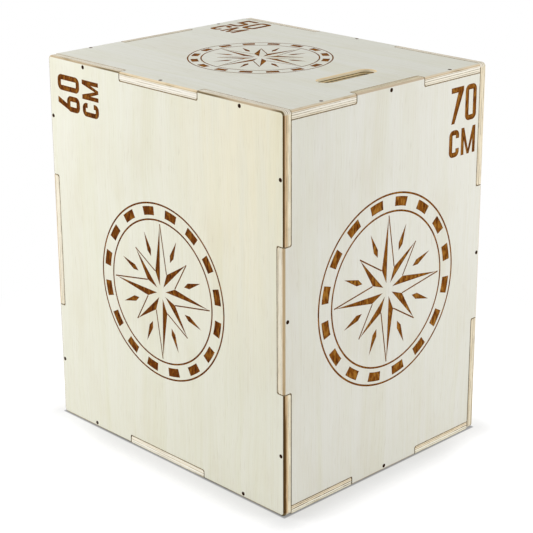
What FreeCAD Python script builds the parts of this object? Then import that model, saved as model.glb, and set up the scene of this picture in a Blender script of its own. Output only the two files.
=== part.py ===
"""Wooden plyo box of three heights: six finger-jointed plywood boards, a centre brace and the screws."""
import FreeCAD, Part
import os

# Overall size: length along X, width along Y, height along Z
BOX_LENGTH = 600.0
BOX_WIDTH = 500.0
BOX_HEIGHT = 700.0

# Boards and the fingers that join them
PLY_THICKNESS = 16.0
LENGTH_FINGER = 200.0
WIDTH_FINGER = 168.0
HEIGHT_FINGER = 255.0
GLUE_GAP = 0.3
CUTTER_RADIUS = 2.5
FINGER_EASING = 4.5
EDGE_ROUNDING = 4.0
CORNER_ROUNDING = 8.0

# Hand slots in the top and bottom panels
SLOT_LENGTH = 132.0
SLOT_WIDTH = 32.0
SLOT_FROM_END = 101.0
SLOT_ROUNDING = 2.5

# Upright board inside the box
BRACE_THICKNESS = 16.0
GROOVE_DEPTH = 4.0

# Countersunk screws
SCREW_LENGTH = 50.0
SCREW_DIAMETER = 3.5
SCREW_HEAD_DIAMETER = 7.0
SCREW_HEAD_RIM = 0.4
SCREW_POINT = 5.0
SCREW_SINK = 0.5
SCREW_CLEARANCE = 0.1
DRIVE_SPAN = 3.8
DRIVE_WIDTH = 0.85
DRIVE_DEPTH = 1.4

# Axes are numbered X, Y, Z; the box is built about its centre and lifted onto the floor at the end
X, Y, Z = range(3)
HALF = (BOX_LENGTH / 2, BOX_WIDTH / 2, BOX_HEIGHT / 2)
FINGER = (LENGTH_FINGER, WIDTH_FINGER, HEIGHT_FINGER)
OVERSHOOT = 2.0
SAME_PLACE = 0.001

# Each board: the axis that it faces along, and the side of the box that it is on
BOARDS = {
    "front_panel": (Y, -1),
    "back_panel": (Y, 1),
    "left_end_panel": (X, -1),
    "right_end_panel": (X, 1),
    "top_panel": (Z, 1),
    "bottom_panel": (Z, -1),
}
NAMES = {place: name for name, place in BOARDS.items()}
EDGE_WORDS = {
    (X, -1): "left",
    (X, 1): "right",
    (Y, -1): "front",
    (Y, 1): "back",
    (Z, -1): "bottom",
    (Z, 1): "top",
}

# At a seam the board whose axis comes first here has the middle tab, the other board has the notch for it
TAB_ORDER = (X, Z, Y)


def axis_vector(axis, value=1.0):
    """A vector along one axis."""
    parts = [0.0, 0.0, 0.0]
    parts[axis] = value
    return FreeCAD.Vector(*parts)


def point(spots):
    """A point from a coordinate for each axis."""
    return FreeCAD.Vector(spots[X], spots[Y], spots[Z])


def block(spans):
    """A box from a pair of limits, in either order, for each axis."""
    low = [min(spans[axis]) for axis in (X, Y, Z)]
    high = [max(spans[axis]) for axis in (X, Y, Z)]
    return Part.makeBox(*[b - a for a, b in zip(low, high)], FreeCAD.Vector(*low))


def edges_along(shape, axis, spots):
    """The straight edges along an axis that lie at the given coordinates on the other two axes."""
    found = []
    for edge in shape.Edges:
        middle = edge.CenterOfMass
        box = edge.BoundBox
        length = (box.XLength, box.YLength, box.ZLength)[axis]
        near = all(abs(middle[other] - value) < SAME_PLACE for other, value in spots.items())
        if near and abs(edge.Length - length) < SAME_PLACE:
            found.append(edge)
    return found


def has_tab(normal, edge_axis):
    """Whether a board facing along one axis has the middle tab on its edges across another."""
    return TAB_ORDER.index(normal) < TAB_ORDER.index(edge_axis)


def third_axis(first, second):
    """The axis that is neither of two."""
    return X + Y + Z - first - second


def inner_edge(axis):
    """The distance from the box's centre to the inner face of the boards that face along an axis."""
    return HALF[axis] - PLY_THICKNESS


def thickness_span(normal, side, spare=0.0):
    """The limits of a board through its thickness, widened by some spare."""
    return (side * (inner_edge(normal) - spare), side * (HALF[normal] + spare))


def rounded_box():
    """The whole box as one block with its edges rounded, which trims the boards that lie between others."""
    whole = block({axis: (-HALF[axis], HALF[axis]) for axis in (X, Y, Z)})
    return whole.makeFillet(EDGE_ROUNDING, whole.Edges)


def corner_board_blank(normal, side):
    """A board that owns the box's corners, rounded in its own plane and over the edge of its outer face."""
    spans = {axis: (-HALF[axis], HALF[axis]) for axis in (X, Y, Z)}
    spans[normal] = thickness_span(normal, side)
    blank = block(spans)
    corners = [edge for edge in blank.Edges if abs(edge.tangentAt(edge.FirstParameter)[normal]) > 0.5]
    blank = blank.makeFillet(CORNER_ROUNDING, corners)
    face = side * HALF[normal]
    outer = [edge for edge in blank.Edges if abs(edge.BoundBox.Center[normal] - face) < SAME_PLACE]
    return blank.makeFillet(EDGE_ROUNDING, outer)


def between_board_blank(normal, side, envelope):
    """A board whose edges lie between others, trimmed to the rounded edges of the whole box."""
    spans = {axis: (-HALF[axis], HALF[axis]) for axis in (X, Y, Z)}
    spans[normal] = thickness_span(normal, side)
    return block(spans).common(envelope)


def notch(normal, side, edge_axis, edge_side, start, end):
    """What a cutter takes out of a board's edge between two places along it, with its round inner corners."""
    along = third_axis(normal, edge_axis)
    floor = inner_edge(edge_axis) - GLUE_GAP
    spans = {
        normal: thickness_span(normal, side, OVERSHOOT),
        edge_axis: (edge_side * floor, edge_side * (HALF[edge_axis] + OVERSHOOT)),
        along: (start, end),
    }
    cut = block(spans)
    inside = [place for place in (start, end) if abs(place) < HALF[along]]
    corners = []
    for place in inside:
        corners += edges_along(cut, normal, {edge_axis: edge_side * floor, along: place})
    return cut.makeFillet(CUTTER_RADIUS, corners)


def finger_easing(normal, side, edge_axis, edge_side, place, towards):
    """The rounded inner arris of one finger, which clears the round inner corner of the board it meets."""
    along = third_axis(normal, edge_axis)
    inner = side * inner_edge(normal)
    floor = edge_side * (inner_edge(edge_axis) - GLUE_GAP)
    tip = edge_side * (HALF[edge_axis] + OVERSHOOT)
    spans = {
        normal: (inner - side * OVERSHOOT, inner + side * FINGER_EASING),
        edge_axis: (floor, tip),
        along: (place - towards * OVERSHOOT, place + towards * FINGER_EASING),
    }
    centre = {
        normal: inner + side * FINGER_EASING,
        edge_axis: min(floor, tip),
        along: place + towards * FINGER_EASING,
    }
    keep = Part.makeCylinder(FINGER_EASING, abs(tip - floor), point(centre), axis_vector(edge_axis))
    return block(spans).cut(keep)


def finger_cuts(normal, side):
    """Everything that makes the fingers round a board: its notches, and the eased arrises beside them."""
    cuts = []
    for edge_axis in (X, Y, Z):
        if edge_axis == normal:
            continue
        along = third_axis(normal, edge_axis)
        beyond = HALF[along] + OVERSHOOT
        for edge_side in (-1, 1):
            if has_tab(normal, edge_axis):
                reach = FINGER[along] / 2 - GLUE_GAP / 2
                cuts.append(notch(normal, side, edge_axis, edge_side, -beyond, -reach))
                cuts.append(notch(normal, side, edge_axis, edge_side, reach, beyond))
            else:
                reach = FINGER[along] / 2 + GLUE_GAP / 2
                cuts.append(notch(normal, side, edge_axis, edge_side, -reach, reach))
            for end in (-1, 1):
                towards = -end if has_tab(normal, edge_axis) else end
                cuts.append(finger_easing(normal, side, edge_axis, edge_side, end * reach, towards))
    return cuts


def hand_slot(side):
    """The hole for a hand through the top or bottom panel, long across the box."""
    middle = HALF[X] - SLOT_FROM_END
    radius = SLOT_WIDTH / 2
    straight = SLOT_LENGTH / 2 - radius
    low, high = sorted(thickness_span(Z, side, OVERSHOOT))
    hole = block({X: (middle - radius, middle + radius), Y: (-straight, straight), Z: (low, high)})
    for end in (-straight, straight):
        hole = hole.fuse(Part.makeCylinder(radius, high - low, FreeCAD.Vector(middle, end, low)))
    return hole.removeSplitter()


def with_hand_slot(board, side):
    """A board with its hand slot cut and the slot's edges rounded over on both faces."""
    hole = hand_slot(side)
    board = board.cut(hole)
    footprint = hole.BoundBox
    footprint.enlarge(SAME_PLACE)
    boxes = [(edge, edge.BoundBox) for edge in board.Edges]
    rim = [edge for edge, box in boxes if footprint.isInside(box) and box.ZLength < SAME_PLACE]
    return board.makeFillet(SLOT_ROUNDING, rim)


def brace_groove(side):
    """The groove inside the front or back panel that holds an edge of the centre brace."""
    half = BRACE_THICKNESS / 2 + GLUE_GAP
    inner = side * inner_edge(Y)
    height = inner_edge(Z) + GLUE_GAP
    return block({
        X: (-half, half),
        Y: (inner - side * OVERSHOOT, inner + side * GROOVE_DEPTH),
        Z: (-height, height),
    })


def centre_brace():
    """The upright board inside, between the top and bottom panels and let into the front and back."""
    reach = inner_edge(Y) + GROOVE_DEPTH - GLUE_GAP
    height = inner_edge(Z) - GLUE_GAP
    half = BRACE_THICKNESS / 2
    return block({X: (-half, half), Y: (-reach, reach), Z: (-height, height)})


def turned_profile(points):
    """A solid of revolution about Z from radius and height pairs."""
    wire = Part.makePolygon([FreeCAD.Vector(r, 0, z) for r, z in points + points[:1]])
    return Part.Face(wire).revolve(FreeCAD.Vector(0, 0, 0), FreeCAD.Vector(0, 0, 1), 360)


def screw():
    """One countersunk screw, pointing down, with the top of its head at the origin."""
    head = SCREW_HEAD_DIAMETER / 2
    shank = SCREW_DIAMETER / 2
    neck = -SCREW_HEAD_RIM - (head - shank)
    outline = [
        (0, 0),
        (head, 0),
        (head, -SCREW_HEAD_RIM),
        (shank, neck),
        (shank, SCREW_POINT - SCREW_LENGTH),
        (0, -SCREW_LENGTH),
    ]
    body = turned_profile(outline)
    arm = (-DRIVE_SPAN / 2, DRIVE_SPAN / 2)
    slit = (-DRIVE_WIDTH / 2, DRIVE_WIDTH / 2)
    depth = (-DRIVE_DEPTH, OVERSHOOT)
    drive = block({X: arm, Y: slit, Z: depth}).fuse(block({X: slit, Y: arm, Z: depth}))
    return body.cut(drive)


def screw_hole():
    """The room for one screw: a countersink, a hole for the shank, and the sink down to its head."""
    head = SCREW_HEAD_DIAMETER / 2 + SCREW_CLEARANCE
    shank = SCREW_DIAMETER / 2 + SCREW_CLEARANCE
    seat = -SCREW_HEAD_RIM - SCREW_CLEARANCE
    return turned_profile([
        (0, SCREW_SINK + OVERSHOOT),
        (head, SCREW_SINK + OVERSHOOT),
        (head, seat),
        (shank, seat - (head - shank)),
        (shank, -SCREW_LENGTH - SCREW_CLEARANCE),
        (0, -SCREW_LENGTH - SCREW_CLEARANCE),
    ])


def driven_in(shape, normal, side, spots):
    """A screw-shaped solid set into the face of a board at a point of that face."""
    spots = {**spots, normal: side * (HALF[normal] - SCREW_SINK)}
    turn = FreeCAD.Rotation(FreeCAD.Vector(0, 0, 1), axis_vector(normal, side))
    placed = shape.copy()
    placed.Placement = FreeCAD.Placement(point(spots), turn)
    return placed


def screw_rows():
    """Each row of screws along a board's edge: its name, the board, the board it bites, and its places."""
    rows = []
    for name, (normal, side) in BOARDS.items():
        for edge_axis in (X, Y, Z):
            if edge_axis == normal:
                continue
            along = third_axis(normal, edge_axis)
            end = inner_edge(along) if has_tab(normal, along) else HALF[along]
            middle = (FINGER[along] / 2 + end) / 2
            places = (0.0,) if has_tab(normal, edge_axis) else (-middle, middle)
            for edge_side in (-1, 1):
                depth = edge_side * (HALF[edge_axis] - PLY_THICKNESS / 2)
                spots = [{edge_axis: depth, along: place} for place in places]
                word = "screw" if len(places) == 1 else "screws"
                row_name = f"{name}_{EDGE_WORDS[edge_axis, edge_side]}_{word}"
                rows.append((row_name, name, NAMES[edge_axis, edge_side], spots))
    return rows


def build():
    """Every node of the box by name."""
    envelope = rounded_box()
    rows = screw_rows()
    nodes = {}
    for name, (normal, side) in BOARDS.items():
        if normal == Y:
            board = corner_board_blank(normal, side)
        else:
            board = between_board_blank(normal, side, envelope)
        board = board.cut(finger_cuts(normal, side))
        if normal == Y:
            board = board.cut(brace_groove(side))
        if normal == Z:
            board = with_hand_slot(board, side)
        holes = []
        for _, owner, bitten, spots in rows:
            if name in (owner, bitten):
                holes += [driven_in(screw_hole(), *BOARDS[owner], spot) for spot in spots]
        nodes[name] = board.cut(holes)
    nodes["centre_brace"] = centre_brace()
    for row_name, owner, _, spots in rows:
        nodes[row_name] = Part.makeCompound([driven_in(screw(), *BOARDS[owner], spot) for spot in spots])
    return nodes


os.makedirs("parts", exist_ok=True)
for node_name, shape in build().items():
    shape.translate(FreeCAD.Vector(0, 0, HALF[Z]))
    shape.exportStep(f"parts/{node_name}.step")
    print(node_name, "solids", len(shape.Solids), "valid", shape.isValid(), "volume", round(shape.Volume, 1))
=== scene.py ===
import math

import bmesh
import bpy
from mathutils import Matrix, Vector


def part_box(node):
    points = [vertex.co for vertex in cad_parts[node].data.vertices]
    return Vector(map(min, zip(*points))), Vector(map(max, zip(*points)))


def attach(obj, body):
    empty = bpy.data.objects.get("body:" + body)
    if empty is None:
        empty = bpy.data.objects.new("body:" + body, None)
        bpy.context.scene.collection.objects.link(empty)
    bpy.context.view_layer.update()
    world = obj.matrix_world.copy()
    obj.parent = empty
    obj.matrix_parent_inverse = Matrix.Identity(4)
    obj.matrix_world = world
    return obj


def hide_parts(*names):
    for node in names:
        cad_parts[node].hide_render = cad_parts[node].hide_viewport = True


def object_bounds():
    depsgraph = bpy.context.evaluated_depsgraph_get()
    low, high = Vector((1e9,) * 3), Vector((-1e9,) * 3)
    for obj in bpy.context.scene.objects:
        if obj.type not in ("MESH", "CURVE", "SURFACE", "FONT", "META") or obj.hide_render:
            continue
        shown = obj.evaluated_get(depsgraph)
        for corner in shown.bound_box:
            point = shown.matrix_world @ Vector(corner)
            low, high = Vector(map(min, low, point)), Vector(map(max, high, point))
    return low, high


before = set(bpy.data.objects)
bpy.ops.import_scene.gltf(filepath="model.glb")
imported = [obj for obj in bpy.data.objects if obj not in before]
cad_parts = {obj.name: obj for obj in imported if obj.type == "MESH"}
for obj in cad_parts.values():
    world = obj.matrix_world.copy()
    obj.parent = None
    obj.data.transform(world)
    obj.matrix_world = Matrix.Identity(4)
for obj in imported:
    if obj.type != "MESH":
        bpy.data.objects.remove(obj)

cad_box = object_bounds()
scene = bpy.context.scene
LOW, HIGH = cad_box
PLY = HIGH.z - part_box("top_panel")[0].z

# Each face of the box as a person in front of it sees it: its board, and which way is right and up
FACES = {
    "front": ("front_panel", (1, 0, 0), (0, 0, 1)),
    "back": ("back_panel", (-1, 0, 0), (0, 0, 1)),
    "right": ("right_end_panel", (0, 1, 0), (0, 0, 1)),
    "left": ("left_end_panel", (0, -1, 0), (0, 0, 1)),
    "top": ("top_panel", (1, 0, 0), (0, 1, 0)),
    "bottom": ("bottom_panel", (1, 0, 0), (0, -1, 0)),
}

# Edges: the rounding of the whole box, the easing where boards meet, and the most that a screw hole spans
EDGE_ROUNDING = 0.004
SEAM_EASING = 0.0009
SCREW_HOLE = 0.012

# Limits for reading a board's mesh
SAME_POINT = 1e-6
SKIN_TOLERANCE = 1e-4
SKIN_FACING = 0.8
DOWNWARD = -0.9
FLAT_ANGLE = math.radians(0.5)
SHARP_ANGLE = math.radians(40)
SMOOTH_ANGLE = math.radians(35)

# A board's materials by number, and a burning tool's
PLYWOOD, BROWNED_SEAM, BROWNED_HOLE = range(3)
MARK_FLOOR, MARK_WALL = range(2)

# Burnt marks: their depth, the run of their sloped walls, and the part of the tool above the wood
BURN_DEPTH = 0.0006
MARK_SLOPE = 0.0020
STAR_SLOPE = 0.0008
TOOL_START = 0.0002
TOOL_HEIGHT = 0.002
LAYER_STEP = 0.00003
SINGED_DEPTH = (0.00006, 0.00034)

# Size marks: stroke widths, corner radius, parts of a glyph's height and of its stroke
NUMBER_STROKE = 0.0108
UNIT_STROKE = 0.0102
MARK_ROUNDING = 0.0060
CORNER_SEGMENTS = 6
LAYERS = 3
WAIST = 0.60
LIP = 0.33
STEM = 0.88
DIAGONAL_FOOT = 0.38
SIX_TAIL = ((0.44, 1.0), (0.85, 1.0), (0.36, 0.42), (0.0, 0.42))
SLANT = 0.92
SEVEN_UNDERCUT = 0.4
SEVEN_SHOULDER = 0.75
SEVEN_FOOT = (1.12, 0.12)
SEVEN_HEAD = 1.35

# For each size mark its glyphs: left, right, baseline and height
MARKS = {
    "60": [
        ("6", 0.6042, 0.6342, 0.2120, 0.0632),
        ("0", 0.6403, 0.6706, 0.2120, 0.0632),
        ("C", 0.6035, 0.6296, 0.1582, 0.0468),
        ("M", 0.6342, 0.6702, 0.1582, 0.0468),
    ],
    "70": [
        ("7", 0.1560, 0.1908, 0.6032, 0.0654),
        ("0", 0.1943, 0.2261, 0.6032, 0.0654),
        ("C", 0.1533, 0.1815, 0.5427, 0.0502),
        ("M", 0.1860, 0.2260, 0.5427, 0.0502),
    ],
    "50": [
        ("5", -0.2742, -0.2420, 0.1642, 0.0598),
        ("0", -0.2372, -0.2028, 0.1642, 0.0598),
        ("C", -0.2745, -0.2472, 0.1148, 0.0462),
        ("M", -0.2420, -0.2036, 0.1148, 0.0462),
    ],
}

# Compass star burnt in the middle of each face
RING_RADIUS = 0.150
RING_LINE = 0.0034
RING_SEGMENTS = 128
BAND_OUTER = 0.1430
BAND_INNER = 0.1280
BAND_BLOCKS = 16
BLOCK_STEPS = 6
BLOCK_TURN = 0.25
INNER_RING = 0.1210
STAR_POINTS = 8
LONG_POINT = 0.116
SHORT_POINT = 0.088
STAR_WAIST = 0.036
STAR_LINE = 0.0026
STAR_HUB = 0.010
HALF_POINT = math.tau / STAR_POINTS / 2
THIRD_POINT = math.tau / STAR_POINTS / 3
DART_TIP = 0.104
DART_FOOT = 0.060
DART_WIDEST = DART_FOOT * 1.2
DART_SPREAD = math.tau / 90

# What is burnt into each face: its size mark, whether that is turned a quarter, the star's centre and scale
BURNT = {
    "front": ("60", True, (-0.003, 0.323), 1.08),
    "back": ("60", True, (-0.003, 0.323), 1.08),
    "right": ("70", False, (0.0, 0.342), 1.15),
    "left": ("70", False, (0.0, 0.342), 1.15),
    "top": ("50", False, (-0.010, 0.0), 0.87),
    "bottom": ("50", False, (-0.010, 0.0), 0.87),
}

# Plies: how deep the veneer, the brown ply and the tan ply go, then pale plies with darker thin ones between
VENEER = 0.00012
BROWN_PLY = 0.0021
TAN_PLY = 0.0040
FIRST_THIN_PLY = 0.0054
PLY_PITCH = 0.0038
THIN_PLY = 0.0011
MIDDLE_PLY = FIRST_THIN_PLY + PLY_PITCH

# How softly the plies meet and how far they wander, which the veneer hardly does
PLY_BLUR = 0.0004
BROWN_BLUR = 0.0007
VENEER_BLUR = 0.00004
PLY_WANDER = 0.0006
VENEER_STEADY = -0.9
THIN_BLUR = 0.05
END_LINES = 1.6

# Where the cut edges differ: in a hand slot, beside the middle tabs, at the near corner and towards the foot
SLOT_REACH = (0.080, 0.090)
SLOTS = {"top": (0.199, 0.0), "bottom": (0.199, 0.0)}
TABS = {"front": 0.100, "back": 0.100}
TAB_END = (-0.004, 0.004)
SCORCH_FADE = (0.030, 0.100, 0.9, 0.0)
SCORCHED_CORNER = (0.262, 0.294)
# Darker towards the foot of the front and back boards and of the seams: the heights between which it fades,
# how much on the plies and on the seams, and how much deeper the brown ply reaches there
DARKER_FOOT_HEIGHTS = (0.06, 0.32)
DARKER_FOOT_AMOUNT = 0.16
SEAM_DARKER_FOOT_AMOUNT = 0.9
DARKER_FOOT_DEPTH = -0.011

# Where a veneer is warmer: its reach across the board and up it
WARM = {"front": ((-0.06, 0.26), (0.16, 0.56))}

# Noise: its scale along the axes, its detail and its roughness
WAVER_NOISE = ((2.6, 8.0, 8.0), 2.0, 0.55)
WANDER_NOISE = ((30.0, 30.0, 0.0), 2.0, 0.55)
PORE_NOISE = ((420.0, 420.0, 420.0), 2.0, 0.55)
STREAK_NOISE = ((14.0, 14.0, 320.0), 3.0, 0.55)
LINE_NOISE = ((26.0, 26.0, 1.0), 3.0, 0.55)
UNEVEN_NOISE = ((11.0, 11.0, 60.0), 4.0, 0.6)
BAND_NOISE = ((3.0, 24.0, 24.0), 3.0, 0.55)
BURNT_FIBRE_NOISE = ((60.0, 260.0, 260.0), 4.0, 0.65)
BURNT_PATCH_NOISE = ((60.0, 150.0, 150.0), 3.0, 0.55)
RUB_NOISE = ((600.0, 600.0, 600.0), 3.0, 0.55)

# How far the grain wavers, and how far apart two plies lie in their noise
WAVER = 0.05
PLY_SHIFT = 5.3

# Ramps: between which limits a value rises, and from what to what where that isn't 0 to 1
END_FACING = (0.02, 0.3)
STREAKS = (0.42, 0.72)
PORES = (0.55, 0.75, 0.0, 0.5)
MIDDLE_DARKER = (0.0012, 0.0020, 0.10, 0.0)
DARK_PATCHES = (0.55, 0.63)
LINE_STRENGTH = (0.38, 0.58, 0.35, 1.0)
BROWNED = (0.50, 0.68)
WARM_BANDS = (0.34, 0.62, 0.55, 1.2)
BURNT_FIBRES = (0.42, 0.66)
BURNT_PATCHES = (0.46, 0.66, 0.0, 0.8)
RUBBED = (0.5, 0.75)
VENEER_ROUGHNESS = (0.3, 0.7, 0.56, 0.70)
BURNT_ROUGHNESS = (0.3, 0.7, 0.68, 0.85)
SCREW_ROUGHNESS = (0.3, 0.7, 0.45, 0.65)

# Surfaces: their relief and their shine
WOOD_RELIEF = {"Strength": 0.12, "Distance": 0.0004}
BURNT_RELIEF = {"Strength": 0.3, "Distance": 0.0005}
WOOD_SHINE = 0.06
BURNT_SHINE = 0.05
SCREW_SHINE = 0.06

# What a board's plywood takes: masks and amounts, and colours
PLY_MASKS = ("Slot", "Scorch", "Darker Foot", "Side Broken", "End Broken", "Side Lines")
EDGE_COLOURS = ("Brown", "Tan", "Pale", "Core")
WOOD_COLOURS = ("Veneer", *(f"{edge} {ply}" for edge in ("Side", "End") for ply in EDGE_COLOURS))


def linear(red, green, blue):
    """A colour as a shader takes it, from the 0 to 255 values of a screen."""
    def channel(value):
        value /= 255
        return value / 12.92 if value <= 0.04045 else ((value + 0.055) / 1.055) ** 2.4
    return (channel(red), channel(green), channel(blue), 1.0)


# Colours of the brown, tan, pale and core plies on the long edges and the end edges of the boards
UPRIGHT_SIDE = (linear(98, 72, 36), linear(216, 182, 140), linear(230, 208, 172), linear(255, 247, 222))
UPRIGHT_END = (linear(194, 174, 144), linear(226, 212, 186), linear(244, 238, 222), linear(244, 238, 224))
BACK_SIDE = (linear(224, 214, 192), linear(234, 223, 199), linear(246, 236, 212), linear(242, 231, 206))
BACK_END = (linear(200, 187, 164), linear(226, 215, 192), linear(244, 238, 222), linear(244, 238, 224))
FINGER_SIDE = (linear(209, 184, 145), linear(205, 178, 138), linear(248, 241, 222), linear(248, 241, 222))
RIGHT_END = (linear(204, 186, 160), linear(220, 203, 174), linear(232, 221, 194), linear(222, 211, 184))
LEFT_END = (linear(204, 192, 172), linear(218, 207, 184), linear(232, 224, 206), linear(230, 223, 206))
TOP_SIDE = (linear(236, 218, 186), linear(214, 194, 156), linear(251, 247, 236), linear(250, 245, 232))
TOP_END = (linear(224, 211, 187), linear(208, 184, 148), linear(250, 245, 232), linear(246, 239, 222))
FOOT_SIDE = (linear(228, 218, 192), linear(246, 240, 222), linear(255, 251, 238), linear(252, 246, 230))
FOOT_END = (linear(234, 223, 195), linear(250, 243, 220), linear(255, 251, 234), linear(246, 232, 205))

# Each board's wood: veneer and plies, then how much its thin plies darken on long edges and on end edges,
# and how strong they are on long edges
WOODS = {
    "front": ((linear(236, 235, 221), *UPRIGHT_SIDE, *UPRIGHT_END), 0.5, 0.1, 1.1),
    "back": ((linear(234, 233, 219), *BACK_SIDE, *BACK_END), 0.5, 0.1, 1.1),
    "right": ((linear(234, 233, 224), *FINGER_SIDE, *RIGHT_END), 0.25, 0.6, 1.0),
    "left": ((linear(233, 231, 220), *FINGER_SIDE, *LEFT_END), 0.25, 0.25, 1.0),
    "top": ((linear(232, 232, 223), *TOP_SIDE, *TOP_END), 0.15, 0.15, 0.7),
    "bottom": ((linear(231, 228, 214), *FOOT_SIDE, *FOOT_END), 0.6, 1.0, 0.5),
}
WARM_VENEER = linear(243, 238, 216)

# Colours of the slots' walls, whose plies are paler than the same plies elsewhere, partly painted light that
# makes up for the shade inside the slot, and of plies darkened by the cutter
SLOT_SIDE_PAINTED_LIGHT, SLOT_END_PAINTED_LIGHT = linear(224, 180, 120), linear(255, 233, 184)
SLOT_LINE, SLOT_BROWN_PAINTED_LIGHT, SLOT_TAN_PAINTED_LIGHT = linear(64, 42, 16), linear(240, 218, 176), linear(252, 242, 216)
DARK_STRETCH = linear(84, 56, 28)
SCORCHED_EDGE = linear(112, 96, 62)

# The veneer's figure: whether it wavers, its noise, the limits of its ramp, and its tint
FIGURE = {
    "fibre": (True, ((6.0, 360.0, 360.0), 4.0, 0.6), (0.35, 0.75), (0.965, 0.955, 0.935, 1)),
    "streak": (True, ((2.2, 80.0, 80.0), 3.0, 0.55), (0.38, 0.72), (0.98, 0.98, 0.955, 1)),
    "band": (True, ((1.0, 20.0, 20.0), 2.0, 0.55), (0.36, 0.72), (0.985, 0.985, 0.955, 1)),
    "blotch": (False, ((5.0, 11.0, 11.0), 3.0, 0.55), (0.44, 0.76), (0.965, 0.95, 0.92, 1)),
    "fleck": (True, ((26.0, 460.0, 460.0), 1.0, 0.55), (0.62, 0.72), (0.93, 0.92, 0.90, 1)),
}

# Tints of the plies, which multiply the wood's colour
STREAK_TINT = (0.93, 0.88, 0.80, 1)
PORE_TINT = (0.84, 0.80, 0.72, 1)
THIN_PLY_TINT = (0.50, 0.46, 0.38, 1)
BROWNED_BROWN_TINT = (0.78, 0.75, 0.66, 1)
BROWNED_TAN_TINT = (0.54, 0.48, 0.38, 1)

# Burnt wood: its middle, pale and dark colour
SEAM = (linear(164, 146, 116), linear(190, 174, 146), linear(122, 102, 72))
TOP_SEAM = (linear(184, 168, 140), linear(206, 192, 166), linear(150, 132, 104))
# The seams' darker colour towards the foot
SEAM_AT_FOOT = linear(92, 70, 40)
DARK_BURN = (linear(112, 58, 8), linear(152, 98, 32), linear(66, 26, 2))
LIGHT_BURN = (linear(134, 78, 16), linear(172, 120, 48), linear(86, 40, 2))
CHAR = (linear(84, 42, 8), linear(104, 56, 14), linear(58, 26, 4))
SINGED_RIM = linear(172, 122, 66)
SCREW_DARK, SCREW_RUBBED = linear(46, 22, 6), linear(78, 44, 18)


# Meshes

def face_matrix(name):
    """Takes right, up and outwards on a face to the box's own frame."""
    _, right, up = FACES[name]
    right, up = Vector(right), Vector(up)
    out = right.cross(up)
    reach = max(out.dot(LOW), out.dot(HIGH))
    return Matrix.Translation(out * reach) @ Matrix((right, up, out)).transposed().to_4x4()


def object_of(mesh, name):
    """A mesh as an object of the scene."""
    made = bpy.data.objects.new(name, mesh)
    scene.collection.objects.link(made)
    return made


def mesh_of(bm, name):
    """A bmesh as a mesh, which ends the bmesh."""
    mesh = bpy.data.meshes.new(name)
    bm.to_mesh(mesh)
    bm.free()
    return mesh


def finished_mesh(thing, name):
    """The mesh that an object shows with its modifiers, after which the object is gone."""
    shown = thing.evaluated_get(bpy.context.evaluated_depsgraph_get())
    mesh = bpy.data.meshes.new_from_object(shown)
    mesh.name = name
    bpy.data.objects.remove(thing)
    return mesh


def path(bm, points, closed, rounding=0.0, rounded=None):
    """A line through points, with some of its corners rounded."""
    verts = [bm.verts.new((x, y, TOOL_START)) for x, y in points]
    pairs = list(zip(verts, verts[1:]))
    if closed:
        pairs.append((verts[-1], verts[0]))
    for pair in pairs:
        bm.edges.new(pair)
    if rounded is None:
        rounded = range(len(verts)) if closed else range(1, len(verts) - 1)
    corners = [verts[i] for i in rounded]
    if rounding:
        bmesh.ops.bevel(
            bm, geom=corners, offset=rounding, offset_type="OFFSET", segments=CORNER_SEGMENTS,
            profile=0.5, affect="VERTICES", material=-1)


def raise_tool(bm, extruded):
    """Lifts what an extrusion made to the tool's height."""
    tops = [part for part in extruded["geom"] if isinstance(part, bmesh.types.BMVert)]
    bmesh.ops.translate(bm, verts=tops, vec=(0, 0, TOOL_HEIGHT))
    bmesh.ops.recalc_face_normals(bm, faces=bm.faces[:])


def strokes(lines, width):
    """The tool for lines of one width: a standing wall along each line, thickened to both sides."""
    raise_tool(lines, bmesh.ops.extrude_edge_only(lines, edges=lines.edges[:]))
    wall = object_of(mesh_of(lines, "stroke"), "stroke")
    thick = wall.modifiers.new("width", "SOLIDIFY")
    thick.thickness = width
    thick.offset = 0
    thick.use_even_offset = True
    return finished_mesh(wall, "strokes")


def patches(flat):
    """The tool for filled areas: each is raised to a block."""
    raise_tool(flat, bmesh.ops.extrude_face_region(flat, geom=flat.faces[:], use_keep_orig=True))
    return mesh_of(flat, "patches")


def polygon(bm, points):
    """One flat area from its corners."""
    bm.faces.new([bm.verts.new((x, y, TOOL_START)) for x, y in points])


def glyph_lines(bm, glyph, left, right, base, height, stroke):
    """The centre line of a round-cornered glyph."""
    half = stroke / 2
    west, east = left + half, right - half
    foot, head = base + half, base + height - half
    waist = base + height * WAIST - half
    if glyph == "0":
        path(bm, [(west, foot), (east, foot), (east, head), (west, head)], True, MARK_ROUNDING)
    elif glyph == "6":
        path(bm, [(west, foot), (east, foot), (east, waist), (west, waist)], True, MARK_ROUNDING)
    elif glyph == "5":
        corners = [(right, head), (west, head), (west, waist), (east, waist), (east, foot), (left, foot)]
        path(bm, corners, False, MARK_ROUNDING, (3, 4))
    elif glyph == "C":
        lip = height * LIP
        corners = [(east, head - lip + half), (east, head), (west, head), (west, foot), (east, foot)]
        path(bm, corners + [(east, foot + lip - half)], False, MARK_ROUNDING)


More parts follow.
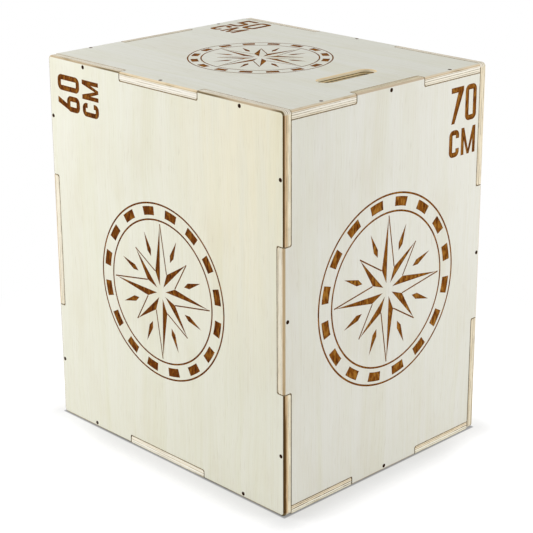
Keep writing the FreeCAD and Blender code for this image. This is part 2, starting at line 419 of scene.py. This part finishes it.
def glyph_bars(layers, glyph, left, right, base, height, stroke):
    """The straight bars of a glyph, those that cross in different layers."""
    head = base + height
    middle = (left + right) / 2
    wide = right - left
    if glyph == "7":
        slant = stroke * SLANT
        polygon(layers[0], [
            (left, head), (right, head),
            (right - slant * SEVEN_UNDERCUT, head - stroke), (left, head - stroke),
        ])
        polygon(layers[1], [
            (right, head), (right, head - stroke * SEVEN_SHOULDER),
            *((left + slant * foot, base) for foot in SEVEN_FOOT), (right - slant * SEVEN_HEAD, head),
        ])
    elif glyph == "6":
        polygon(layers[1], [(left + wide * across, base + height * up) for across, up in SIX_TAIL])
    elif glyph == "M":
        stem = stroke * STEM
        reach = stem * DIAGONAL_FOOT
        for edge in (left, right - stem):
            polygon(layers[0], [(edge, base), (edge + stem, base), (edge + stem, head), (edge, head)])
        for layer, side, turn in ((layers[1], left, 1), (layers[2], right, -1)):
            polygon(layer, [
                (side, head), (side + turn * stem, head),
                (middle + turn * reach, base), (middle - turn * reach, base),
            ])


def mark_tools(mark):
    """The tools that burn a size mark, numbers above and unit below, in layers that are cut in turn."""
    bars = [bmesh.new() for _ in range(LAYERS)]
    tools = []
    for glyphs, stroke in ((MARKS[mark][:2], NUMBER_STROKE), (MARKS[mark][2:], UNIT_STROKE)):
        lines = bmesh.new()
        for glyph, left, right, base, height in glyphs:
            glyph_lines(lines, glyph, left, right, base, height, stroke)
            glyph_bars(bars, glyph, left, right, base, height, stroke)
        tools.append(strokes(lines, stroke))
    return [[*tools, patches(bars[0])], [patches(bars[1])], [patches(bars[2])]]


def around(angle, radius):
    """A point at an angle and a radius."""
    return (radius * math.cos(angle), radius * math.sin(angle))


def star_tools():
    """The tools that burn the compass star: rings, a band of blocks, and points with one dark half."""
    rings = bmesh.new()
    for radius in (RING_RADIUS - RING_LINE / 2, INNER_RING):
        bmesh.ops.create_circle(
            rings, segments=RING_SEGMENTS, radius=radius, matrix=Matrix.Translation((0, 0, TOOL_START)))
    areas, thin = bmesh.new(), bmesh.new()
    for block in range(BAND_BLOCKS):
        start = math.tau * (block + BLOCK_TURN) / BAND_BLOCKS
        ends = [areas.verts.new((*around(start, radius), TOOL_START)) for radius in (BAND_INNER, BAND_OUTER)]
        side = areas.edges.new(ends)
        bmesh.ops.spin(
            areas, geom=[*ends, side], axis=(0, 0, 1), cent=(0, 0, 0),
            angle=math.pi / BAND_BLOCKS, steps=BLOCK_STEPS, use_merge=False)
    for number in range(STAR_POINTS):
        angle = math.tau * number / STAR_POINTS
        between = angle + HALF_POINT
        tip = around(angle, SHORT_POINT if number % 2 else LONG_POINT)
        polygon(areas, [around(angle + THIRD_POINT, STAR_HUB), tip, around(between, STAR_WAIST)])
        path(thin, [tip, around(angle - HALF_POINT, STAR_WAIST)], False)
        polygon(areas, [
            around(between, DART_FOOT), around(between - DART_SPREAD, DART_WIDEST),
            around(between, DART_TIP), around(between + DART_SPREAD, DART_WIDEST),
        ])
    return [[strokes(rings, RING_LINE), patches(areas)], [strokes(thin, STAR_LINE)], []]


def sloped(tool, slope, deeper):
    """A tool with sloped walls, which char, round a flat floor, which browns."""
    bm = bmesh.new()
    bm.from_mesh(tool)
    bpy.data.meshes.remove(tool)
    floors = [face for face in bm.faces if face.normal.z < DOWNWARD]
    for face in bm.faces:
        face.material_index = MARK_WALL
    bmesh.ops.inset_region(
        bm, faces=floors, thickness=slope, depth=BURN_DEPTH + TOOL_START + deeper, use_even_offset=True)
    for face in floors:
        face.material_index = MARK_FLOOR
    return mesh_of(bm, "sloped")


def burning_tools(name, mark, turned, centre, scale, scorched, charred):
    """The tools of one face as cutters, one for each layer."""
    quarter = Matrix.Rotation(math.pi / 2, 4, "Z") if turned else Matrix.Identity(4)
    wide = Matrix.Translation((*centre, 0)) @ Matrix.Diagonal((scale, scale, 1, 1))
    cutters = []
    for layer, (marks, stars) in enumerate(zip(mark_tools(mark), star_tools())):
        deeper = layer * LAYER_STEP
        placed = [(sloped(tool, MARK_SLOPE, deeper), quarter) for tool in marks]
        placed += [(sloped(tool, STAR_SLOPE, deeper), wide) for tool in stars]
        bm = bmesh.new()
        for tool, place in placed:
            tool.transform(place)
            bm.from_mesh(tool)
            bpy.data.meshes.remove(tool)
        bmesh.ops.transform(bm, matrix=face_matrix(name), verts=bm.verts[:])
        cutter = object_of(mesh_of(bm, "cutter"), "cutter")
        cutter.data.materials.append(scorched)
        cutter.data.materials.append(charred)
        cutters.append(cutter)
    return cutters


def on_outside(face):
    """Whether a face lies on the rounded skin of the whole box."""
    middle = (LOW + HIGH) / 2
    spot = face.calc_center_median() - middle
    core = (HIGH - LOW) / 2 - Vector((EDGE_ROUNDING, EDGE_ROUNDING, EDGE_ROUNDING))
    away = Vector(math.copysign(max(abs(c) - h, 0), c) for c, h in zip(spot, core))
    on_skin = abs(away.length - EDGE_ROUNDING) < SKIN_TOLERANCE
    return on_skin and away.normalized().dot(face.normal) > SKIN_FACING


def joined_edges(edges):
    """Edges in groups that hang together."""
    left = set(edges)
    groups = []
    while left:
        front = [left.pop()]
        group = []
        while front:
            edge = front.pop()
            group.append(edge)
            beside = {other for vert in edge.verts for other in vert.link_edges} & left
            left -= beside
            front.extend(beside)
        groups.append(group)
    return groups


def is_screw_hole(edges):
    """Whether edges that hang together are as small as the rim of a screw hole."""
    spans = zip(*(vert.co for edge in edges for vert in edge.verts))
    return all(max(span) - min(span) < SCREW_HOLE for span in spans)


def ease_seams(bm):
    """Takes the sharp edge off a board where it meets another on the outside, and browns its screw holes."""
    bmesh.ops.dissolve_limit(bm, angle_limit=FLAT_ANGLE, verts=bm.verts[:], edges=bm.edges[:])
    outside = {face for face in bm.faces if on_outside(face)}
    sharp = [
        edge for edge in bm.edges
        if len(edge.link_faces) == 2 and edge.calc_face_angle() > SHARP_ANGLE
        and len(outside.intersection(edge.link_faces)) == 1
    ]
    rims = {edge for group in joined_edges(sharp) if is_screw_hole(group) for edge in group}
    for wall in {face for edge in rims for face in edge.link_faces} - outside:
        wall.material_index = BROWNED_HOLE
    seams = [edge for edge in sharp if edge not in rims]
    eased = bmesh.ops.bevel(
        bm, geom=seams, offset=SEAM_EASING, offset_type="OFFSET", segments=1, profile=0.5,
        affect="EDGES", material=-1)
    for face in eased["faces"]:
        face.material_index = BROWNED_SEAM
    bmesh.ops.dissolve_degenerate(bm, dist=SAME_POINT, edges=bm.edges[:])


def burnt_board(name, plywood, browned, scorched, charred):
    """A board of the box with its marks burnt in, which stands for the plain board."""
    node = FACES[name][0]
    bm = bmesh.new()
    bm.from_mesh(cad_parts[node].data)
    bmesh.ops.remove_doubles(bm, verts=bm.verts[:], dist=SAME_POINT)
    for face in bm.faces:
        face.material_index = PLYWOOD
    ease_seams(bm)
    blank = object_of(mesh_of(bm, "blank"), "blank")
    for material in (plywood, browned, charred):
        blank.data.materials.append(material)
    cutters = burning_tools(name, *BURNT[name], scorched, charred)
    for cutter in cutters:
        cut = blank.modifiers.new("burn", "BOOLEAN")
        cut.operation = "DIFFERENCE"
        cut.solver = "EXACT"
        cut.material_mode = "TRANSFER"
        cut.object = cutter
    mesh = finished_mesh(blank, f"{node}_board")
    for cutter in cutters:
        bpy.data.objects.remove(cutter)
    mesh.shade_smooth()
    mesh.set_sharp_from_angle(angle=SMOOTH_ANGLE)
    board = object_of(mesh, f"{node}_board")
    normals = board.modifiers.new("flat_faces_stay_flat", "WEIGHTED_NORMAL")
    normals.keep_sharp = True
    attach(board, "root")
    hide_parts(node)


# Shader nodes

def add(tree, kind, inputs=None, **settings):
    """A shader node with its settings, values and links."""
    made = tree.nodes.new(kind)
    for key, value in settings.items():
        setattr(made, key, value)
    for key, value in (inputs or {}).items():
        if isinstance(value, bpy.types.NodeSocket):
            tree.links.new(value, made.inputs[key])
        else:
            made.inputs[key].default_value = value
    return made


def math_node(tree, operation, first, second=0.0, third=0.0):
    """The result of one sum."""
    return add(tree, "ShaderNodeMath", {0: first, 1: second, 2: third}, operation=operation).outputs[0]


def ramp(tree, value, low, high, start=0.0, end=1.0):
    """A value that goes smoothly from one number to another as its source passes between two limits."""
    return add(
        tree, "ShaderNodeMapRange",
        {"Value": value, "From Min": low, "From Max": high, "To Min": start, "To Max": end},
        interpolation_type="SMOOTHSTEP").outputs["Result"]


def blend(tree, factor, first, second, mode="MIX"):
    """One colour going into another."""
    return add(
        tree, "ShaderNodeMix", {0: factor, 6: first, 7: second}, data_type="RGBA", blend_type=mode).outputs[2]


def product(tree, first, second):
    """Two values multiplied."""
    return math_node(tree, "MULTIPLY", first, second)


def step(tree, value, middle, blur):
    """A value that goes from 0 to 1 about a middle."""
    return ramp(tree, value, middle - blur, middle + blur)


def split(tree, vector):
    """The three parts of a vector."""
    return add(tree, "ShaderNodeSeparateXYZ", {0: vector}).outputs


def stretched_noise(tree, place, scale, detail, roughness):
    """Noise drawn out along the axes by its scale on each of them."""
    drawn = add(tree, "ShaderNodeVectorMath", {0: place, 1: scale}, operation="MULTIPLY").outputs[0]
    return add(
        tree, "ShaderNodeTexNoise",
        {"Vector": drawn, "Scale": 1.0, "Detail": detail, "Roughness": roughness}).outputs["Fac"]


def new_group(name, inputs, outputs):
    """An empty shader group with its sockets, and the nodes at its ends."""
    group = bpy.data.node_groups.new(name, "ShaderNodeTree")
    for key, kind in inputs:
        group.interface.new_socket(key, in_out="INPUT", socket_type=f"NodeSocket{kind}")
    for key, kind in outputs:
        group.interface.new_socket(key, in_out="OUTPUT", socket_type=f"NodeSocket{kind}")
    return group, group.nodes.new("NodeGroupInput"), group.nodes.new("NodeGroupOutput")


def grain_group():
    """Pale sanded veneer: fibres, streaks, bands, blotches and short flecks, along X of its place."""
    tree, start, end = new_group(
        "veneer_grain", [("Place", "Vector"), ("Colour", "Color")],
        [("Colour", "Color"), ("Fibre", "Float")])
    place = start.outputs["Place"]
    waver = math_node(tree, "MULTIPLY_ADD", stretched_noise(tree, place, *WAVER_NOISE), WAVER, -WAVER / 2)
    aside = add(tree, "ShaderNodeCombineXYZ", {1: waver}).outputs[0]
    wavy = add(tree, "ShaderNodeVectorMath", {0: place, 1: aside}, operation="ADD").outputs[0]
    colour = start.outputs["Colour"]
    drawn = {}
    for mark, (wavers, noise, limits, tint) in FIGURE.items():
        drawn[mark] = stretched_noise(tree, wavy if wavers else place, *noise)
        colour = blend(tree, ramp(tree, drawn[mark], *limits), colour, tint, "MULTIPLY")
    tree.links.new(colour, end.inputs["Colour"])
    tree.links.new(drawn["fibre"], end.inputs["Fibre"])
    return tree


def inner_plies(tree, place, depth, at_end, edge, given, pores):
    """Pale plies, of another shade in the inner half, with a thin darker one at every step down."""
    along, aside, _ = split(tree, place)
    slot = given["Slot"]
    streak = stretched_noise(tree, place, *STREAK_NOISE)
    pale = blend(tree, step(tree, depth, MIDDLE_PLY, PLY_BLUR), edge["Pale"], edge["Core"])
    pale = blend(tree, ramp(tree, streak, *STREAKS), pale, STREAK_TINT, "MULTIPLY")
    pale = blend(tree, ramp(tree, pores, *PORES), pale, PORE_TINT, "MULTIPLY")
    # In a slot the pale plies take paler colours, partly painted light that makes up for the shade inside the
    # slot
    pale = blend(tree, slot, pale, blend(tree, at_end, SLOT_SIDE_PAINTED_LIGHT, SLOT_END_PAINTED_LIGHT))
    # Dark stretches: all along the thin plies in a slot, and broken ones elsewhere, most on the middle ply
    steps = math_node(tree, "DIVIDE", math_node(tree, "SUBTRACT", depth, FIRST_THIN_PLY), PLY_PITCH)
    number = product(tree, math_node(tree, "ROUND", steps), PLY_SHIFT)
    ply_spot = add(tree, "ShaderNodeCombineXYZ", {0: along, 1: aside, 2: number}).outputs[0]
    line = stretched_noise(tree, ply_spot, *LINE_NOISE)
    off_middle = math_node(tree, "ABSOLUTE", math_node(tree, "SUBTRACT", depth, MIDDLE_PLY))
    patch = math_node(tree, "ADD", line, ramp(tree, off_middle, *MIDDLE_DARKER))
    broken = ramp(tree, at_end, 0.0, 1.0, given["Side Broken"], given["End Broken"])
    dark = blend(tree, 1.0, pale, THIN_PLY_TINT, "MULTIPLY")
    dark = blend(tree, product(tree, ramp(tree, patch, *DARK_PATCHES), broken), dark, DARK_STRETCH)
    dark = blend(tree, slot, dark, SLOT_LINE)
    # Thin plies that come and go along an edge, fainter on the long edges of some boards
    half_thin = THIN_PLY / PLY_PITCH / 2
    off_thin = math_node(tree, "PINGPONG", steps, 0.5)
    thin = ramp(tree, off_thin, half_thin - THIN_BLUR, half_thin + THIN_BLUR, 1.0, 0.0)
    lines = ramp(tree, at_end, 0.0, 1.0, given["Side Lines"], END_LINES)
    strength = product(tree, ramp(tree, line, *LINE_STRENGTH), lines)
    return blend(tree, product(tree, thin, math_node(tree, "MAXIMUM", strength, slot)), pale, dark)


def outer_plies(tree, place, at_end, edge, given):
    """The brown and tan plies under the outer veneer, browned unevenly by the cutter, and darker towards the
    foot on some boards.
    """
    slot = given["Slot"]
    uneven = stretched_noise(tree, place, *UNEVEN_NOISE)
    browned = ramp(tree, math_node(tree, "ADD", uneven, given["Darker Foot"]), *BROWNED)
    brown = blend(tree, browned, edge["Brown"], BROWNED_BROWN_TINT, "MULTIPLY")
    brown = blend(tree, product(tree, at_end, given["Scorch"]), brown, SCORCHED_EDGE)
    tan = blend(tree, browned, edge["Tan"], BROWNED_TAN_TINT, "MULTIPLY")
    # In a slot the brown and tan plies turn pale, partly painted light that makes up for the shade inside it
    return blend(tree, slot, brown, SLOT_BROWN_PAINTED_LIGHT), blend(tree, slot, tan, SLOT_TAN_PAINTED_LIGHT)


def ply_group(grain):
    """Plywood right through: veneer on both faces, a brown and a tan ply, and inner plies that cross."""
    tree, start, end = new_group(
        "plywood_layers",
        [("Place", "Vector"), ("Facing", "Vector"), *((key, "Float") for key in PLY_MASKS),
         *((key, "Color") for key in WOOD_COLOURS)],
        [("Colour", "Color"), ("Height", "Float"), ("Roughness", "Float")])
    given = start.outputs
    place = given["Place"]
    wander = stretched_noise(tree, place, *WANDER_NOISE)
    drift = math_node(tree, "MULTIPLY_ADD", wander, PLY_WANDER, -PLY_WANDER / 2)
    depth = math_node(tree, "ADD", split(tree, place)[2], drift)
    at_end = ramp(tree, math_node(tree, "ABSOLUTE", split(tree, given["Facing"])[0]), *END_FACING)
    edge = {ply: blend(tree, at_end, given[f"Side {ply}"], given[f"End {ply}"]) for ply in EDGE_COLOURS}
    pores = stretched_noise(tree, place, *PORE_NOISE)
    inner = inner_plies(tree, place, depth, at_end, edge, given, pores)
    brown, tan = outer_plies(tree, place, at_end, edge, given)
    under = math_node(tree, "MULTIPLY_ADD", given["Darker Foot"], DARKER_FOOT_DEPTH, depth)
    colour = blend(tree, step(tree, under, TAN_PLY, PLY_BLUR), tan, inner)
    colour = blend(tree, step(tree, under, BROWN_PLY, BROWN_BLUR), brown, colour)
    # The veneer lies on both faces and wanders less than the plies
    veneered = add(tree, "ShaderNodeGroup", {"Place": place, "Colour": given["Veneer"]}, node_tree=grain)
    nearer = math_node(tree, "MINIMUM", depth, math_node(tree, "SUBTRACT", PLY, depth))
    veneer_edge = math_node(tree, "MULTIPLY_ADD", drift, VENEER_STEADY, nearer)
    cut = step(tree, veneer_edge, VENEER, VENEER_BLUR)
    fibre = veneered.outputs["Fibre"]
    height = add(tree, "ShaderNodeMix", {0: cut, 2: fibre, 3: pores}).outputs[0]
    tree.links.new(blend(tree, cut, veneered.outputs["Colour"], colour), end.inputs["Colour"])
    tree.links.new(height, end.inputs["Height"])
    tree.links.new(ramp(tree, fibre, *VENEER_ROUGHNESS), end.inputs["Roughness"])
    return tree


def new_material(name):
    """A material with its Principled shader."""
    material = bpy.data.materials.new(name)
    material.use_nodes = True
    return material, material.node_tree, material.node_tree.nodes["Principled BSDF"]


def dress(tree, shader, colour, roughness, shine, height=None, relief=None):
    """Gives a shader its colour, roughness, shine and perhaps a relief."""
    tree.links.new(colour, shader.inputs["Base Color"])
    tree.links.new(roughness, shader.inputs["Roughness"])
    shader.inputs["Specular IOR Level"].default_value = shine
    if relief:
        bump = add(tree, "ShaderNodeBump", {"Height": height, **relief}).outputs[0]
        tree.links.new(bump, shader.inputs["Normal"])


def board_axes(name):
    """A board's directions along the veneer's grain, across it and inwards, and the outer face's reach."""
    _, right, up = FACES[name]
    right, up = Vector(right), Vector(up)
    inwards = up.cross(right)
    along = right if name in ("top", "bottom") else up
    return along, inwards.cross(along), inwards, max(inwards.dot(-LOW), inwards.dot(-HIGH))


def board_place(tree, axes):
    """Object coordinates and the normal turned to a board's own axes."""
    along, across, inwards, reach = axes
    turn = Matrix((along, across, inwards)).to_euler()
    spot = add(tree, "ShaderNodeTexCoord").outputs["Object"]
    facing = add(tree, "ShaderNodeNewGeometry").outputs["Normal"]
    place = add(
        tree, "ShaderNodeMapping", {"Vector": spot, "Location": (0, 0, reach), "Rotation": turn}).outputs[0]
    return place, add(tree, "ShaderNodeMapping", {"Vector": facing, "Rotation": turn}).outputs[0]


def plywood_material(name, layers, axes, colours, side_broken, end_broken, side_lines):
    """Plywood for one board, cut through its plies, striped in a hand slot and paler there, partly with
    painted light, scorched beside tabs and darker towards the foot on some boards.
    """
    material, tree, shader = new_material(f"{name}_plywood")
    place, facing = board_place(tree, axes)
    plies = add(tree, "ShaderNodeGroup", {
        "Place": place, "Facing": facing,
        "Side Broken": side_broken, "End Broken": end_broken, "Side Lines": side_lines,
        **dict(zip(WOOD_COLOURS, colours)),
    }, node_tree=layers)
    along, aside, _ = split(tree, place)
    if name in SLOTS:
        middle = (*SLOTS[name], PLY / 2)
        away = add(tree, "ShaderNodeVectorMath", {0: place, 1: middle}, operation="DISTANCE").outputs["Value"]
        tree.links.new(ramp(tree, away, *SLOT_REACH, 1.0, 0.0), plies.inputs["Slot"])
    if name in TABS:
        past_tab = math_node(tree, "SUBTRACT", math_node(tree, "ABSOLUTE", aside), TABS[name])
        beside = product(tree, ramp(tree, past_tab, *TAB_END), ramp(tree, past_tab, *SCORCH_FADE))
        corner = ramp(tree, aside, *SCORCHED_CORNER)
        tree.links.new(math_node(tree, "MAXIMUM", beside, corner), plies.inputs["Scorch"])
        # Darker towards the foot
        tree.links.new(ramp(tree, along, *DARKER_FOOT_HEIGHTS, DARKER_FOOT_AMOUNT, 0.0), plies.inputs["Darker Foot"])
    if name in WARM:
        across_limits, up_limits = WARM[name]
        warm = product(tree, ramp(tree, aside, *across_limits), ramp(tree, along, *up_limits))
        bands = ramp(tree, stretched_noise(tree, place, *BAND_NOISE), *WARM_BANDS)
        veneer = blend(tree, product(tree, warm, bands), colours[0], WARM_VENEER)
        tree.links.new(veneer, plies.inputs["Veneer"])
    made = plies.outputs
    dress(tree, shader, made["Colour"], made["Roughness"], WOOD_SHINE, made["Height"], WOOD_RELIEF)
    return material


def burnt_material(name, axes, colour, pale, dark, rim=None, foot=None):
    """Wood browned by heat with its grain showing, perhaps only singed at the surface or dark at the foot."""
    material, tree, shader = new_material(name)
    place, _ = board_place(tree, axes)
    along, _, depth = split(tree, place)
    fibre = stretched_noise(tree, place, *BURNT_FIBRE_NOISE)
    patch = stretched_noise(tree, place, *BURNT_PATCH_NOISE)
    mixed = blend(tree, ramp(tree, fibre, *BURNT_FIBRES), colour, dark)
    mixed = blend(tree, ramp(tree, patch, *BURNT_PATCHES), mixed, pale)
    if rim:
        mixed = blend(tree, ramp(tree, depth, *SINGED_DEPTH), rim, mixed)
    if foot:
        mixed = blend(tree, ramp(tree, along, *DARKER_FOOT_HEIGHTS, SEAM_DARKER_FOOT_AMOUNT, 0.0), mixed, foot)
    dress(tree, shader, mixed, ramp(tree, patch, *BURNT_ROUGHNESS), BURNT_SHINE, fibre, BURNT_RELIEF)
    return material


def screw_material():
    """Dark phosphated steel, a little rubbed."""
    material, tree, shader = new_material("dark_screw")
    spot = add(tree, "ShaderNodeTexCoord").outputs["Object"]
    rub = stretched_noise(tree, spot, *RUB_NOISE)
    colour = blend(tree, ramp(tree, rub, *RUBBED), SCREW_DARK, SCREW_RUBBED)
    dress(tree, shader, colour, ramp(tree, rub, *SCREW_ROUGHNESS), SCREW_SHINE)
    return material


# The boards, the brace inside and the screws
grain = grain_group()
layers = ply_group(grain)
for face_name, wood in WOODS.items():
    axes = board_axes(face_name)
    burnt_board(
        face_name,
        plywood_material(face_name, layers, axes, *wood),
        burnt_material(
            f"{face_name}_browned_seam", axes, *(TOP_SEAM if face_name == "top" else SEAM),
            foot=None if face_name in ("top", "bottom") else SEAM_AT_FOOT),
        burnt_material(
            f"{face_name}_scorched", axes, *(DARK_BURN if face_name in ("front", "back") else LIGHT_BURN)),
        burnt_material(f"{face_name}_charred", axes, *CHAR, rim=SINGED_RIM),
    )

brace_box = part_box("centre_brace")
brace_axes = (Vector((0, 0, 1)), Vector((0, 1, 0)), Vector((-1, 0, 0)), brace_box[1].x)
brace_wood = plywood_material("brace", layers, brace_axes, *WOODS["bottom"])
steel = screw_material()
for node_name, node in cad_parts.items():
    if node_name.endswith(("_screw", "_screws")):
        node.data.materials.clear()
        node.data.materials.append(steel)
    elif node_name == "centre_brace":
        node.data.materials.clear()
        node.data.materials.append(brace_wood)


# Studio: pale floor, white surroundings, soft lamps

WORLD_LIGHT = 0.62
FLOOR_SIZE = 40.0
FLOOR_WHITE = 0.8
FLOOR_SEEN = 0.4
# Painted shadow on the floor: darker up to a few millimetres from the box's foot, and glowing less in view
# near the box than further out
PAINTED_FOOT_SHADOW = (0.0, 0.0036, 0.44, 1.0)
GLOW_WITH_PAINTED_SHADOW = (0.005, 0.080, 0.45, 0.76)
FLOOR_FADE = (0.15, 0.60)
# Painted light on the floor: more glow at the two corners of the box that face the lamps, where it takes the
# shadow away
PAINTED_CORNER_START = 0.45
PAINTED_CORNER_LIGHT = 0.12

# Each lamp's place, size and power
LAMPS = {
    "front_lamp": ((-1.5, -1.5, 1.40), 1.4, 28.5),
    "right_lamp": ((1.6, 1.1, 0.95), 1.2, 13.5),
}
LAMP_AIM = Vector((0, 0, 0.35))


def seen_directly(tree):
    """One for what the camera sees, straight, in a reflection or through glass."""
    rays = add(tree, "ShaderNodeLightPath").outputs
    seen = math_node(tree, "MAXIMUM", rays["Is Camera Ray"], rays["Is Glossy Ray"])
    return math_node(tree, "MAXIMUM", seen, rays["Is Transmission Ray"])


world = bpy.data.worlds.new("studio")
world.use_nodes = True
scene.world = world
backdrop = world.node_tree.nodes["Background"]
backdrop.inputs["Color"].default_value = (1, 1, 1, 1)
world.node_tree.links.new(
    ramp(world.node_tree, seen_directly(world.node_tree), 0.0, 1.0, WORLD_LIGHT, 1.0),
    backdrop.inputs["Strength"])


def floor_material():
    """Pale paper that glows a little in view, so that it goes from a painted shadow at the box, darker at the
    foot and glowing less nearby, to plain white, with painted light at two corners.
    """
    material, tree, shader = new_material("pale_floor")
    tree.nodes.remove(shader)
    x, y, _ = split(tree, add(tree, "ShaderNodeTexCoord").outputs["Object"])
    beyond = []
    for place, reach in ((x, HIGH.x), (y, HIGH.y)):
        past = math_node(tree, "SUBTRACT", math_node(tree, "ABSOLUTE", place), reach)
        beyond.append(math_node(tree, "MAXIMUM", past, 0.0))
    squared = math_node(tree, "MULTIPLY_ADD", beyond[0], beyond[0], product(tree, beyond[1], beyond[1]))
    away = math_node(tree, "SQRT", squared)
    # Painted light: the floor glows more at the two corners of the box that face the lamps, which takes its
    # shadow away there
    corner = HIGH.x * HIGH.y
    painted_corner_light = ramp(tree, product(tree, x, y), corner * PAINTED_CORNER_START, corner)
    seen = seen_directly(tree)
    # Painted shadow: the floor is darker at the box's foot and glows less near it
    foot_shadow_paint = ramp(tree, away, *PAINTED_FOOT_SHADOW)
    white = product(tree, foot_shadow_paint, ramp(tree, seen, 0.0, 1.0, FLOOR_WHITE, FLOOR_SEEN))
    matt = add(tree, "ShaderNodeBsdfDiffuse", {"Color": white})
    painted_shadow_and_light_glow = math_node(tree, "MULTIPLY_ADD", painted_corner_light, PAINTED_CORNER_LIGHT, ramp(tree, away, *GLOW_WITH_PAINTED_SHADOW))
    strength = product(tree, seen, product(tree, foot_shadow_paint, painted_shadow_and_light_glow))
    glow = add(tree, "ShaderNodeEmission", {"Strength": strength})
    near = add(tree, "ShaderNodeAddShader", {0: matt.outputs[0], 1: glow.outputs[0]})
    far = add(tree, "ShaderNodeEmission", {"Strength": 1.0})
    fade = product(tree, seen, ramp(tree, away, *FLOOR_FADE))
    faded = add(tree, "ShaderNodeMixShader", {0: fade, 1: near.outputs[0], 2: far.outputs[0]})
    tree.links.new(faded.outputs[0], tree.nodes["Material Output"].inputs["Surface"])
    return material


floor_mesh = bmesh.new()
bmesh.ops.create_grid(floor_mesh, x_segments=1, y_segments=1, size=FLOOR_SIZE)
floor = object_of(mesh_of(floor_mesh, "floor"), "floor")
floor.data.materials.append(floor_material())

for lamp_name, (spot, size, power) in LAMPS.items():
    lamp = bpy.data.lights.new(lamp_name, "AREA")
    lamp.size = size
    lamp.energy = power
    hung = bpy.data.objects.new(lamp_name, lamp)
    scene.collection.objects.link(hung)
    hung.location = spot
    hung.rotation_euler = (LAMP_AIM - Vector(spot)).to_track_quat("-Z", "Y").to_euler()

# Camera: towards the box's near upright edge, from a little above
AZIMUTH, ELEVATION, ROLL = 0.79865, 0.31812, -0.0048
DISTANCE = 3.01846
TARGET = Vector((-0.07887, 0.08041, 0.35))
FOCAL_PIXELS, PICTURE_PIXELS, AXIS_ABOVE_CENTRE = 1582.0, 533.0, 40.5
SENSOR = 36.0
back = Vector((
    math.sin(AZIMUTH) * math.cos(ELEVATION), -math.cos(AZIMUTH) * math.cos(ELEVATION), math.sin(ELEVATION)))
level = Vector((0, 0, 1)).cross(back).normalized()
rise = back.cross(level)
across = math.cos(ROLL) * level + math.sin(ROLL) * rise
upright = math.cos(ROLL) * rise - math.sin(ROLL) * level
eye = bpy.data.cameras.new("camera")
eye.sensor_width = SENSOR
eye.lens = FOCAL_PIXELS / PICTURE_PIXELS * SENSOR
eye.shift_y = -AXIS_ABOVE_CENTRE / PICTURE_PIXELS
camera = bpy.data.objects.new("camera", eye)
scene.collection.objects.link(camera)
camera.location = TARGET + back * DISTANCE
camera.rotation_euler = Matrix((across, upright, back)).transposed().to_euler()
scene.camera = camera
scene.view_settings.view_transform = "Standard"
